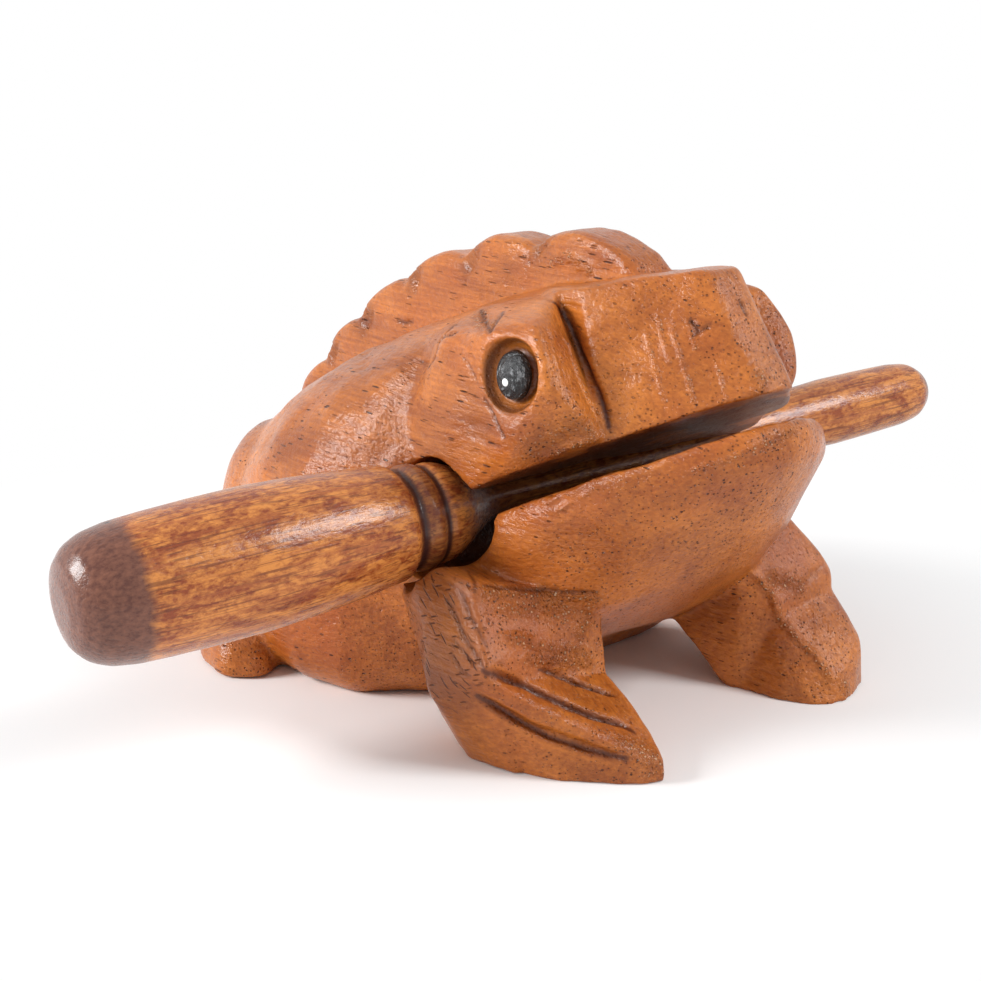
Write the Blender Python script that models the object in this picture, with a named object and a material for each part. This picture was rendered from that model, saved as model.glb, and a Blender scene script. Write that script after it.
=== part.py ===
"""Frog-shaped guiro carved from one block of hardwood, and the turned striker stick that rests in its bore.

The frog looks along -Y and stands on Z = 0, and X = 0 is its middle plane. Every number below is in millimetres
from the floor under its throat. The finished part is then moved along Y, so that its origin is under its belly.
"""

import math

import bpy
import bmesh
from mathutils import Matrix, Vector

MM = 0.001

# Main sizes: from the throat to the tail, from the floor to the top of the ridge, and the stick's handle and shaft.
BODY_LENGTH = 79.5
BODY_HEIGHT = 69.6
HANDLE_LENGTH = 62.1
SHAFT_LENGTH = 89.3

# How far behind the throat the middle of the flat belly lies, where the finished part has its origin.
ORIGIN_Y = 30.0

# How far a cutter reaches past the wood that it goes through.
OVERSHOOT = 20.0

# Bore across the head, and the saw cut of the mouth that opens it to the front.
BORE_RADIUS = 10.6
BORE_Y = 1.5
BORE_Z = 31.0
MOUTH_GAP = 4.3
MOUTH_SLOPE = math.radians(26.7)
MOUTH_Z_AT_BORE = 31.2

# Spine ridge.
RIDGE_THICKNESS = 8.5
RIDGE_ROUNDING = 1.6

# Eyes.
EYE_RADIUS = 4.9
EYE_RECESS_DEPTH = 1.5
PUPIL_RADIUS = 3.4
PUPIL_HEIGHT = 1.9

# The feet are carved a little long and then sawn flat where the frog stands.
FLOOR = 0.0

# Striker stick: where its neck lies in the bore, the way it points, and its radius along it, drawn from the butt
# with a handle of 62.1 and a shaft of 89.3 beyond the neck.
STICK_NECK = Vector((-21.7, 2.74, 31.27))
STICK_DIRECTION = Vector((150.2, -15.5, 10.9)).normalized()
STICK_PROFILE = [
    (0.0, 0.0), (0.1, 3.4), (0.9, 6.2), (2.6, 8.0), (5.0, 9.1), (8.5, 9.7),
    (13.3, 9.95), (20.4, 10.15), (27.5, 10.2), (35.7, 9.8), (43.9, 9.1), (50.3, 8.4),
    (51.1, 7.6), (52.3, 7.5), (53.1, 8.0), (54.8, 7.9), (55.4, 7.3), (56.1, 7.3),
    (56.7, 7.7), (58.3, 7.2), (59.7, 6.0), (60.9, 4.2), (62.1, 2.8), (63.9, 2.2),
    (67.3, 2.0), (78.6, 2.6), (92.8, 3.4), (107.1, 4.3), (121.4, 5.0), (130.6, 5.4),
    (137.7, 5.3), (144.9, 5.1), (148.2, 4.6), (150.2, 3.3), (151.2, 1.7), (151.4, 0.0),
]


def placed(point):
    """Where a point of the outlines, drawn for a body 79.5 long and 69.6 high, lies on a body of the main sizes.

    What lies behind the throat moves with the length, and what lies above the bore moves with the height.
    """
    x, y, z = point
    if y > 0.0:
        y *= BODY_LENGTH / 79.5
    if z > BORE_Z:
        z = BORE_Z + (z - BORE_Z) * (BODY_HEIGHT - BORE_Z) / (69.6 - BORE_Z)
    return Vector((x, y, z))


def clear_scene():
    for old in list(bpy.data.objects):
        bpy.data.objects.remove(old, do_unlink=True)


def wood(name, colour, roughness):
    """A plain lacquered wood colour."""
    material = bpy.data.materials.new(name)
    material.use_nodes = True
    shader = material.node_tree.nodes["Principled BSDF"]
    shader.inputs["Base Color"].default_value = colour
    shader.inputs["Roughness"].default_value = roughness
    return material


def add_object(name, bm):
    """Turns a bmesh in millimetres into an object in metres with its faces pointing out."""
    bmesh.ops.remove_doubles(bm, verts=bm.verts, dist=1e-4)
    bmesh.ops.recalc_face_normals(bm, faces=bm.faces)
    bmesh.ops.translate(bm, vec=(0.0, -ORIGIN_Y, 0.0), verts=bm.verts)
    bmesh.ops.scale(bm, vec=(MM, MM, MM), verts=bm.verts)
    mesh = bpy.data.meshes.new(name)
    bm.to_mesh(mesh)
    bm.free()
    part = bpy.data.objects.new(name, mesh)
    bpy.context.scene.collection.objects.link(part)
    return part


def loft(name, rings):
    """A closed skin through rings of points that all have the same count, with flat ends."""
    bm = bmesh.new()
    rows = [[bm.verts.new(point) for point in ring] for ring in rings]
    count = len(rows[0])
    for first, second in zip(rows, rows[1:]):
        for i in range(count):
            j = (i + 1) % count
            bm.faces.new((first[i], first[j], second[j], second[i]))
    bm.faces.new(rows[0])
    bm.faces.new(list(reversed(rows[-1])))
    return add_object(name, bm)


def hull(name, points, rounding=0.0, segments=2):
    """The convex hull of a few points, with its edges rounded."""
    bm = bmesh.new()
    for point in points:
        bm.verts.new(placed(point))
    made = bmesh.ops.convex_hull(bm, input=bm.verts)
    inside = [item for item in made["geom_interior"] if isinstance(item, bmesh.types.BMVert)]
    bmesh.ops.delete(bm, geom=inside, context="VERTS")
    bmesh.ops.dissolve_limit(bm, angle_limit=math.radians(2), verts=bm.verts, edges=bm.edges)
    part = add_object(name, bm)
    if rounding:
        bevel = part.modifiers.new("Rounding", "BEVEL")
        bevel.width = rounding * MM
        bevel.segments = segments
        bevel.limit_method = "ANGLE"
        bevel.angle_limit = math.radians(12)
    return part


def prism(name, outline, x_low, x_high):
    """An outline in Y and Z, carried along X."""
    return loft(name, [[(x, y, z) for y, z in outline] for x in (x_low, x_high)])


def cylinder(name, start, end, radius, sides=48):
    """A straight round bar between two points."""
    start = Vector(start)
    axis = (Vector(end) - start).normalized()
    side = axis.orthogonal().normalized()
    other = axis.cross(side)
    rings = []
    for centre in (start, Vector(end)):
        ring = []
        for i in range(sides):
            turn = 2 * math.pi * i / sides
            ring.append(centre + radius * (math.cos(turn) * side + math.sin(turn) * other))
        rings.append(ring)
    return loft(name, rings)


def gouge(name, path, width, depth):
    """A V-shaped cutter along a path of (point, outward direction): it leaves a groove of that width and depth."""
    rings = []
    for index, (point, outward) in enumerate(path):
        point = placed(point)
        outward = Vector(outward).normalized()
        before = placed(path[max(index - 1, 0)][0])
        after = placed(path[min(index + 1, len(path) - 1)][0])
        across = (after - before).cross(outward).normalized()
        taper = 0.35 if index in (0, len(path) - 1) else 1.0
        lift = 1.5 * depth
        spread = width * (depth + lift) / depth / 2
        rings.append([
            point - outward * depth * taper,
            point + outward * lift + across * spread,
            point + outward * lift - across * spread,
        ])
    return loft(name, rings)


def dome(name, centre, axis, radius, height, sink):
    """A shallow rounded button that faces along the axis, with its foot sunk into the wood."""
    centre = Vector(centre)
    axis = Vector(axis).normalized()
    side = axis.orthogonal().normalized()
    other = axis.cross(side)
    levels = [(-sink, 1.02), (0.2 * height, 0.98), (0.6 * height, 0.84), (0.9 * height, 0.52), (height, 0.2)]
    rings = []
    for lift, share in levels:
        ring = []
        for i in range(24):
            turn = 2 * math.pi * i / 24
            around = math.cos(turn) * side + math.sin(turn) * other
            ring.append(centre + axis * lift + around * radius * share)
        rings.append(ring)
    return loft(name, rings)


def egg(name, centre, reach, turn):
    """A solid egg with its own reach along X, Y and Z, turned about Z."""
    bm = bmesh.new()
    bmesh.ops.create_uvsphere(bm, u_segments=28, v_segments=16, radius=1.0)
    bmesh.ops.scale(bm, vec=reach, verts=bm.verts)
    bmesh.ops.rotate(bm, matrix=Matrix.Rotation(turn, 3, "Z"), verts=bm.verts)
    bmesh.ops.translate(bm, vec=centre, verts=bm.verts)
    return add_object(name, bm)


def in_triangles(part):
    """Flat triangles only, with stray corners merged, so that a Boolean meets no bent or empty face."""
    weld = part.modifiers.new("Merge corners", "WELD")
    weld.merge_threshold = 0.00005
    part.modifiers.new("Triangles", "TRIANGULATE")
    return part


def helper(part):
    part.hide_render = True
    part.display_type = "WIRE"
    return in_triangles(part)


def combine(target, other, operation):
    step = target.modifiers.new(operation.title() + " " + other.name, "BOOLEAN")
    step.operation = operation
    step.solver = "EXACT"
    step.object = helper(other)


def join(target, other):
    combine(target, other, "UNION")


def cut(target, other):
    combine(target, other, "DIFFERENCE")


def mirrored(points):
    return [(-x, y, z) for x, y, z in points]


# Body: station along Y, half width, bottom, height of the widest level, top.
BODY_STATIONS = [
    (-15.0, 20.0, 18.5, 36.0, 61.0),
    (-8.0, 24.0, 13.5, 34.0, 63.0),
    (-2.0, 26.2, 11.0, 31.0, 62.8),
    (3.0, 27.5, 6.3, 24.0, 61.8),
    (9.0, 30.4, -0.5, 16.0, 60.0),
    (16.0, 35.6, -3.0, 12.0, 57.5),
    (25.0, 39.0, -3.0, 12.0, 54.0),
    (36.0, 38.8, -3.0, 13.0, 49.5),
    (46.0, 35.5, -2.5, 14.0, 44.6),
    (55.0, 29.5, -1.5, 16.0, 39.5),
    (63.0, 23.5, 1.0, 15.5, 34.5),
    (70.0, 17.5, 4.0, 15.0, 29.5),
    (75.0, 12.0, 6.5, 14.5, 25.0),
    (78.5, 6.5, 9.5, 14.5, 20.0),
    (79.5, 3.0, 12.0, 14.5, 17.0),
]

WIDEST = max(half_width for _, half_width, *_ in BODY_STATIONS)


def body_ring(y, half_width, bottom, middle, top, count=44):
    ring = []
    for i in range(count):
        turn = 2 * math.pi * i / count
        across = math.cos(turn)
        up = math.sin(turn)
        x = half_width * math.copysign(abs(across) ** (0.80 if up > 0 else 0.40), across)
        reach = top - middle if up > 0 else middle - bottom
        ring.append((x, y, middle + reach * math.copysign(abs(up) ** (0.85 if up > 0 else 0.60), up)))
    return ring


def build_body():
    return loft("frog_body", [[placed(point) for point in body_ring(*station)] for station in BODY_STATIONS])


# Lower jaw: drop below the mouth cut, reach to the front, half width.
JAW_LEVELS = [
    (-1.5, -38.0, 24.6),
    (0.0, -39.6, 25.9),
    (1.2, -40.7, 26.7),
    (3.0, -41.4, 27.1),
    (5.5, -41.4, 27.1),
    (9.0, -38.5, 26.5),
    (14.0, -34.0, 25.5),
    (18.5, -28.0, 24.4),
    (21.0, -21.0, 21.0),
    (22.8, -13.0, 16.0),
]


def build_jaw():
    lower_face = MOUTH_Z_AT_BORE - MOUTH_GAP / 2 / math.cos(MOUTH_SLOPE)
    rings = []
    for drop, front, half_width in JAW_LEVELS:
        ring = []
        for i in range(40):
            turn = 2 * math.pi * i / 40
            across = math.cos(turn)
            along = math.sin(turn)
            x = half_width * math.copysign(abs(across) ** 1.1, across)
            reach = 8.0 if along > 0 else -front
            y = reach * math.copysign(abs(along) ** 1.1, along)
            ring.append((x, y, lower_face - drop - math.tan(MOUTH_SLOPE) * y))
        rings.append(ring)
    return loft("lower_jaw", rings)


SNOUT = [
    (-12.0, -2.0, 62.5), (-14.8, -9.6, 63.6), (-3.0, -26.5, 67.8), (-3.0, -38.6, 51.5), (-18.8, -24.2, 42.0),
    (-17.0, -2.0, 40.0),
    (12.0, -2.0, 62.5), (14.8, -9.6, 63.6), (3.0, -26.5, 67.8), (3.0, -38.6, 51.5), (18.8, -24.2, 42.0),
    (17.0, -2.0, 40.0),
]

EYE_BLOCK = [
    (-10.0, -3.0, 62.0), (-15.0, -9.4, 62.8), (-22.5, -14.2, 60.8), (-25.6, -6.7, 58.8), (-24.6, 3.0, 56.8),
    (-14.0, 9.0, 59.0), (-18.0, 17.0, 53.5), (-24.6, -19.2, 54.8), (-22.5, -22.7, 49.8), (-18.2, -23.6, 45.6),
    (-26.6, -13.0, 41.8), (-27.3, -5.7, 34.8), (-27.6, 3.0, 40.0), (-27.0, 14.0, 39.0), (-8.0, 4.0, 40.0),
    (-8.0, -20.0, 45.0),
]

# The left side of the head is carved a little farther back than the right one.
LEFT_HEAD_SHIFT = Vector((-0.3, 1.6, -0.2))

# Eye: centre of its recess on the right side, and the way it faces.
EYE_CENTRE = Vector((-25.7, -12.0, 53.5))
EYE_FACING = Vector((-0.988, -0.126, 0.092))

# Deep groove between the eye block and the snout: path along the wood, and the way it opens.
BROW_GROOVE = [
    ((-14.2, -8.2, 64.4), (-0.45, -0.5, 0.74)), ((-16.2, -15.5, 57.5), (-0.55, -0.7, 0.45)),
    ((-18.6, -24.2, 45.5), (-0.6, -0.75, 0.25)),
]

# Toe grooves of the right foot, from the wrist to the toes.
TOE_GROOVES = [
    [((-35.7, -20.5, 15.5), (-0.2, -0.7, 0.5)), ((-30.8, -21.0, 13.1), (0.1, -0.5, 0.8)),
     ((-27.8, -24.0, 11.1), (0.1, -0.5, 0.8)), ((-23.5, -27.5, 8.6), (0.1, -0.5, 0.8)),
     ((-18.8, -30.5, 6.4), (0.1, -0.5, 0.8))],
    [((-36.0, -17.6, 11.9), (-0.9, -0.3, 0.1)), ((-34.2, -21.2, 10.0), (-0.8, -0.5, 0.1)),
     ((-31.5, -24.4, 7.9), (-0.7, -0.6, 0.2)), ((-26.9, -29.1, 5.8), (-0.7, -0.6, 0.2)),
     ((-22.6, -33.5, 4.0), (-0.7, -0.6, 0.2))],
    [((-26.3, -20.3, 13.7), (0.1, -0.8, 0.5)), ((-21.2, -21.6, 11.1), (0.1, -0.5, 0.8)),
     ((-17.1, -24.8, 8.8), (0.1, -0.5, 0.8))],
]

RIGHT_SHIN = [
    (-33.0, -13.4, 26.0), (-35.0, -3.6, 24.2), (-32.0, 6.0, 23.0), (-13.5, -17.5, 21.5), (-12.0, 0.0, 16.0),
    (-36.0, -20.5, 16.0), (-38.0, -10.0, 10.0), (-14.0, -20.0, 11.0), (-32.2, -14.0, -2.0), (-29.0, -5.0, -2.0),
    (-31.4, -22.0, -2.0), (-14.0, -22.0, -2.0), (-14.5, -8.0, -2.0),
]

RIGHT_FOOT = [
    (-36.0, -20.0, 14.5), (-37.0, -12.0, 10.0), (-14.0, -19.0, 11.0), (-14.0, -24.0, 7.5), (-15.0, -31.0, 5.0),
    (-17.2, -36.1, 3.4), (-21.0, -35.2, 3.8), (-26.0, -30.0, 6.0), (-32.0, -23.0, 10.0),
    (-32.0, -13.0, -3.0), (-31.0, -20.5, -3.0), (-26.5, -29.0, -3.0), (-20.5, -34.6, -3.0), (-16.9, -36.2, -3.0),
    (-14.5, -31.5, -3.0), (-14.5, -16.0, -3.0),
]

LEFT_SHIN = [
    (28.5, -12.0, 26.0), (32.0, -5.0, 25.0), (31.0, 5.0, 23.0), (15.5, -16.5, 20.5), (12.0, 2.0, 13.0),
    (33.0, -20.0, 16.0), (36.0, -9.0, 10.0), (19.0, -21.5, 13.5), (33.0, -14.0, -2.0), (14.5, -7.0, 5.5),
    (32.0, -22.0, -2.0), (20.0, -22.0, -2.0), (14.5, -17.0, -2.0), (33.0, 0.0, 8.0),
]

LEFT_FOOT = [
    (33.0, -19.0, 14.5), (35.0, -12.0, 10.0), (19.0, -20.5, 13.0), (22.0, -26.5, 7.0), (24.0, -30.5, 3.5),
    (31.0, -27.5, 7.0), (33.5, -25.0, 6.5),
    (33.0, -12.0, -3.0), (33.5, -25.5, -3.0), (31.5, -28.5, -3.0), (25.0, -32.0, -3.0), (19.0, -31.5, -3.0),
    (15.5, -26.0, -3.0), (14.0, -16.0, -3.0),
]

# Thigh: centre of the egg that stands out behind the flank, its reach across, along and up, and its turn about Z.
THIGH_CENTRE = (-20.9, 56.4, 17.0)
THIGH_REACH = (9.0, 17.0, 16.0)
THIGH_TURN = math.radians(-38)

HIND_FOOT = [
    (-30.0, 44.0, 12.0), (-36.0, 52.0, 12.0), (-40.0, 31.0, 5.5), (-44.5, 35.0, 5.5), (-43.5, 43.0, 5.0),
    (-38.0, 29.5, -2.5), (-41.5, 29.8, -2.5), (-45.8, 34.0, -2.5), (-44.5, 42.5, -2.5), (-37.0, 56.0, -2.5),
    (-26.0, 62.0, -2.5), (-22.0, 46.0, -2.5), (-24.0, 60.0, 10.0),
]

# Ridge: the notches between its rounded teeth, from the front to the tail, and how far each tooth stands out.
RIDGE_NOTCHES = [(-13.5, 65.0), (10.5, 66.2), (27.5, 62.4), (42.8, 56.4), (56.0, 48.2), (66.8, 39.4), (76.0, 29.5)]
RIDGE_SWELL = [4.0, 2.4, 2.3, 2.2, 2.0, 1.8]


def ridge_outline():
    outline = []
    notches = [placed((0.0, y, z)).yz for y, z in RIDGE_NOTCHES]
    for (y0, z0), (y1, z1), swell in zip(notches, notches[1:], RIDGE_SWELL):
        length = math.hypot(y1 - y0, z1 - z0)
        out = (-(z1 - z0) / length, (y1 - y0) / length)
        for i in range(8):
            share = i / 8
            lift = swell * math.sin(math.pi * share) ** 0.7
            outline.append((y0 + (y1 - y0) * share + out[0] * lift, z0 + (z1 - z0) * share + out[1] * lift))
    foot = [(79.0, 19.0), (72.0, 17.0), (60.0, 26.0), (45.0, 34.0), (20.0, 44.0), (-8.0, 52.0)]
    return outline + [notches[-1]] + [placed((0.0, y, z)).yz for y, z in foot]


def build_ridge():
    ridge = prism("spine_ridge", ridge_outline(), -RIDGE_THICKNESS / 2, RIDGE_THICKNESS / 2)
    bevel = ridge.modifiers.new("Rounding", "BEVEL")
    bevel.width = RIDGE_ROUNDING * MM
    bevel.segments = 2
    bevel.limit_method = "ANGLE"
    bevel.angle_limit = math.radians(50)
    return ridge


def mirrored_path(path, shift=Vector((0.0, 0.0, 0.0))):
    """The same groove on the other side."""
    return [
        ((-x + shift.x, y + shift.y, z + shift.z), (-away[0], away[1], away[2])) for (x, y, z), away in path
    ]


def carve_eye(frog, side, shift):
    """A round recess in the side of the head, with a domed pupil left standing in it."""
    centre = placed(Vector((EYE_CENTRE.x * side, EYE_CENTRE.y, EYE_CENTRE.z)) + shift)
    facing = Vector((EYE_FACING.x * side, EYE_FACING.y, EYE_FACING.z)).normalized()
    name = "right" if side > 0 else "left"
    floor = centre - facing * EYE_RECESS_DEPTH
    cut(frog, cylinder(name + "_eye_recess", floor, centre + facing * 5, EYE_RADIUS, 32))
    join(frog, dome(name + "_pupil", floor, facing, PUPIL_RADIUS, PUPIL_HEIGHT, 1.0))


def build_mouth_cutter():
    """A flat saw cut from the bore out through the front."""
    half = MOUTH_GAP / 2 / math.cos(MOUTH_SLOPE)
    rise = math.tan(MOUTH_SLOPE)
    outline = []
    front = min(front for _, front, _ in JAW_LEVELS) - OVERSHOOT
    for y, side in ((BORE_Y, -1), (front, -1), (front, 1), (BORE_Y, 1)):
        outline.append((y, MOUTH_Z_AT_BORE - rise * y + side * half))
    return prism("mouth_cutter", outline, -WIDEST - OVERSHOOT, WIDEST + OVERSHOOT)


def build_sole_cutter():
    """Everything below the floor."""
    front = min(front for _, front, _ in JAW_LEVELS) - OVERSHOOT
    back = BODY_LENGTH + OVERSHOOT
    outline = [(front, -OVERSHOOT), (back, -OVERSHOOT), (back, FLOOR), (front, FLOOR)]
    return prism("sole_cutter", outline, -WIDEST - OVERSHOOT, WIDEST + OVERSHOOT)


def along_stick(drawn):
    """How far from the neck a station of the profile lies, on a stick of the main sizes."""
    beyond = drawn - 62.1
    return beyond * (HANDLE_LENGTH / 62.1 if beyond < 0 else SHAFT_LENGTH / 89.3)


def build_stick():
    """The turned stick, spun round its own axis and then laid in the bore."""
    side = STICK_DIRECTION.orthogonal().normalized()
    other = STICK_DIRECTION.cross(side)
    bm = bmesh.new()
    rows = []
    for along, radius in STICK_PROFILE:
        centre = STICK_NECK + STICK_DIRECTION * along_stick(along)
        if radius == 0.0:
            rows.append([bm.verts.new(centre)])
            continue
        row = []
        for i in range(40):
            turn = 2 * math.pi * i / 40
            row.append(bm.verts.new(centre + radius * (math.cos(turn) * side + math.sin(turn) * other)))
        rows.append(row)
    for first, second in zip(rows, rows[1:]):
        for i in range(40):
            j = (i + 1) % 40
            corners = [first[i % len(first)], first[j % len(first)], second[j % len(second)], second[i % len(second)]]
            bm.faces.new(list(dict.fromkeys(corners)))
    return add_object("striker_stick", bm)


def main():
    clear_scene()
    frog_wood = wood("Lacquered frog wood", (0.42, 0.15, 0.045, 1.0), 0.45)
    stick_wood = wood("Stained stick wood", (0.30, 0.09, 0.03, 1.0), 0.35)

    frog = in_triangles(build_body())
    join(frog, build_jaw())
    join(frog, hull("snout", SNOUT, 1.2))
    join(frog, hull("right_eye_block", EYE_BLOCK, 1.5))
    left_block = [Vector(point) + LEFT_HEAD_SHIFT for point in mirrored(EYE_BLOCK)]
    join(frog, hull("left_eye_block", left_block, 1.5))
    join(frog, hull("right_shin", RIGHT_SHIN, 1.2))
    join(frog, hull("right_foot", RIGHT_FOOT, 1.0))
    join(frog, hull("left_shin", LEFT_SHIN, 1.2))
    join(frog, hull("left_foot", LEFT_FOOT, 1.0))
    join(frog, egg("right_thigh", placed(THIGH_CENTRE), THIGH_REACH, THIGH_TURN))
    join(frog, egg("left_thigh", placed(mirrored([THIGH_CENTRE])[0]), THIGH_REACH, -THIGH_TURN))
    join(frog, hull("right_hind_foot", HIND_FOOT, 1.5))
    join(frog, hull("left_hind_foot", mirrored(HIND_FOOT), 1.5))
    join(frog, build_ridge())
    cut(frog, build_sole_cutter())
    reach = WIDEST + OVERSHOOT
    cut(frog, cylinder("bore_cutter", (-reach, BORE_Y, BORE_Z), (reach, BORE_Y, BORE_Z), BORE_RADIUS))
    cut(frog, build_mouth_cutter())
    cut(frog, gouge("right_brow_groove", BROW_GROOVE, 3.6, 4.0))
    cut(frog, gouge("left_brow_groove", mirrored_path(BROW_GROOVE, LEFT_HEAD_SHIFT), 3.6, 4.0))
    for index, path in enumerate(TOE_GROOVES):
        cut(frog, gouge(f"right_toe_groove_{index + 1}", path, 1.6, 1.4))
    carve_eye(frog, 1, Vector((0.0, 0.0, 0.0)))
    carve_eye(frog, -1, LEFT_HEAD_SHIFT)

    stick = build_stick()
    frog.data.materials.append(frog_wood)
    stick.data.materials.append(stick_wood)
    for part in (frog, stick):
        for polygon in part.data.polygons:
            polygon.use_smooth = True


if __name__ == "__main__":
    main()
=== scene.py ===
"""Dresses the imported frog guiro: the carved frog, its painted eyes, the turned stick and a pale studio.

Lengths inside the functions are in millimetres from the throat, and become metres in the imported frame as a
mesh is made.
"""

import math

import bpy
import numpy as np
from mathutils import Matrix, Vector
from mathutils.kdtree import KDTree


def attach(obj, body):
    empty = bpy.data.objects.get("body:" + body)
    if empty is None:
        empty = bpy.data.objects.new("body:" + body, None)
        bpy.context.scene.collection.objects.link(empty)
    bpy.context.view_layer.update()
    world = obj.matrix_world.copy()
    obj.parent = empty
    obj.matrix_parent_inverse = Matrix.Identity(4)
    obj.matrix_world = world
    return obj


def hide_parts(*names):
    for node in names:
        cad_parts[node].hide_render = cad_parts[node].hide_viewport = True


bl_info = {
    "name": "Frog guiro dresser",
    "version": (1, 0, 0),
    "blender": (4, 5, 0),
    "location": "View3D > Sidebar > Frog guiro",
    "description": "Carves, paints and stages a wooden frog guiro around its packed solids",
    "category": "Object",
}

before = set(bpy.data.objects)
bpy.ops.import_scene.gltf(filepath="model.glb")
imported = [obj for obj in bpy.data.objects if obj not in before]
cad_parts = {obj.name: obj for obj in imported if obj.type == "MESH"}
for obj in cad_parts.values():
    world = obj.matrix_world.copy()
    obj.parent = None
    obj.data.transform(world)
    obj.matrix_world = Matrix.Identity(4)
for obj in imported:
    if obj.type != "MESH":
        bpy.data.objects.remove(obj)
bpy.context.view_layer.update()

MM = 0.001

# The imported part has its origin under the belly, this far behind the throat that the numbers start from.
THROAT_TO_ORIGIN = 30.0

# The stick: where its neck lies in the bore, the way it points, and how far the neck is from butt and tip.
STICK_NECK = Vector((-21.7, 2.74, 31.27))
STICK_DIRECTION = Vector((150.2, -15.5, 10.9)).normalized()
HANDLE_LENGTH = 62.1
SHAFT_LENGTH = 89.3

# The bore across the head, and the saw cut of the mouth: height at the throat, half its gap and its slope.
BORE_Y, BORE_Z, BORE_RADIUS = 1.5, 31.0, 10.6
MOUTH_Z, MOUTH_HALF, MOUTH_RISE = 31.2, 2.4, math.tan(math.radians(26.7))

# Right eye: centre of its recess and the way it faces. The left one is carved a little farther back.
EYE_CENTRE = Vector((-25.7, -12.0, 53.5))
EYE_FACING = Vector((-0.988, -0.126, 0.092)).normalized()
LEFT_HEAD_SHIFT = Vector((-0.3, 1.6, -0.2))

# Each eye: its dish, the low dome in it, and the painted pupil and dot, as half their widths and heights.
DISH_RADIUS, DISH_DEPTH = 5.5, 1.9
DOME_RADIUS, DOME_RISE = 3.2, 1.1
PUPIL_SIZE, DOT_SIZE = (3.05, 3.50), (0.60, 0.64)


def to_part(point):
    """A point measured from the throat, in millimetres, as metres in the part's frame."""
    return Vector((point[0], point[1] - THROAT_TO_ORIGIN, point[2])) * MM


# Settings that a user would change.


class CarvingSettings(bpy.types.PropertyGroup):
    grain: bpy.props.FloatProperty(
        name="Carving grid",
        description="Size of the grid that the carved surface is rebuilt on",
        default=0.00034, min=0.0003, max=0.003, unit="LENGTH",
    )
    softening: bpy.props.IntProperty(
        name="Edge softening",
        description="How many times the sanded edges are rounded over",
        default=6, min=0, max=40,
    )
    light_wood: bpy.props.FloatVectorProperty(
        name="Light wood",
        description="Colour of the light bands in the lacquered wood",
        subtype="COLOR", size=4, min=0.0, max=1.0, default=(0.60, 0.188, 0.030, 1.0),
    )
    dark_wood: bpy.props.FloatVectorProperty(
        name="Dark wood",
        description="Colour of the dark bands in the lacquered wood",
        subtype="COLOR", size=4, min=0.0, max=1.0, default=(0.28, 0.070, 0.011, 1.0),
    )


class StickSettings(bpy.types.PropertyGroup):
    amber: bpy.props.FloatVectorProperty(
        name="Amber patches",
        description="Colour of the wood where the stain stayed thin",
        subtype="COLOR", size=4, min=0.0, max=1.0, default=(0.66, 0.245, 0.055, 1.0),
    )
    stain: bpy.props.FloatVectorProperty(
        name="Stain",
        description="Colour of the wood where the stain soaked in",
        subtype="COLOR", size=4, min=0.0, max=1.0, default=(0.25, 0.052, 0.015, 1.0),
    )
    burn: bpy.props.FloatVectorProperty(
        name="Burnt rings",
        description="Colour of the rings that were burnt in on the lathe",
        subtype="COLOR", size=4, min=0.0, max=1.0, default=(0.042, 0.013, 0.011, 1.0),
    )


class StudioSettings(bpy.types.PropertyGroup):
    floor_colour: bpy.props.FloatVectorProperty(
        name="Floor",
        description="Colour of the floor under the frog",
        subtype="COLOR", size=4, min=0.0, max=1.0, default=(0.95, 0.95, 0.95, 1.0),
    )
    front: bpy.props.FloatProperty(
        name="Front softbox", description="Power of the softbox in front, to the frog's left",
        default=5.5, min=0.0, max=100.0, unit="POWER",
    )
    side: bpy.props.FloatProperty(
        name="Side softbox", description="Power of the softbox behind the frog's right side",
        default=9.0, min=0.0, max=100.0, unit="POWER",
    )
    fill: bpy.props.FloatProperty(
        name="Fill", description="Strength of the even white light from all round",
        default=0.45, min=0.0, max=2.0,
    )
    lens: bpy.props.FloatProperty(
        name="Lens", description="Focal length of the camera", default=73.394, min=20.0, max=200.0,
        unit="CAMERA",
    )


# Node helpers.

WHITE = (1.0, 1.0, 1.0, 1.0)


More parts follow.
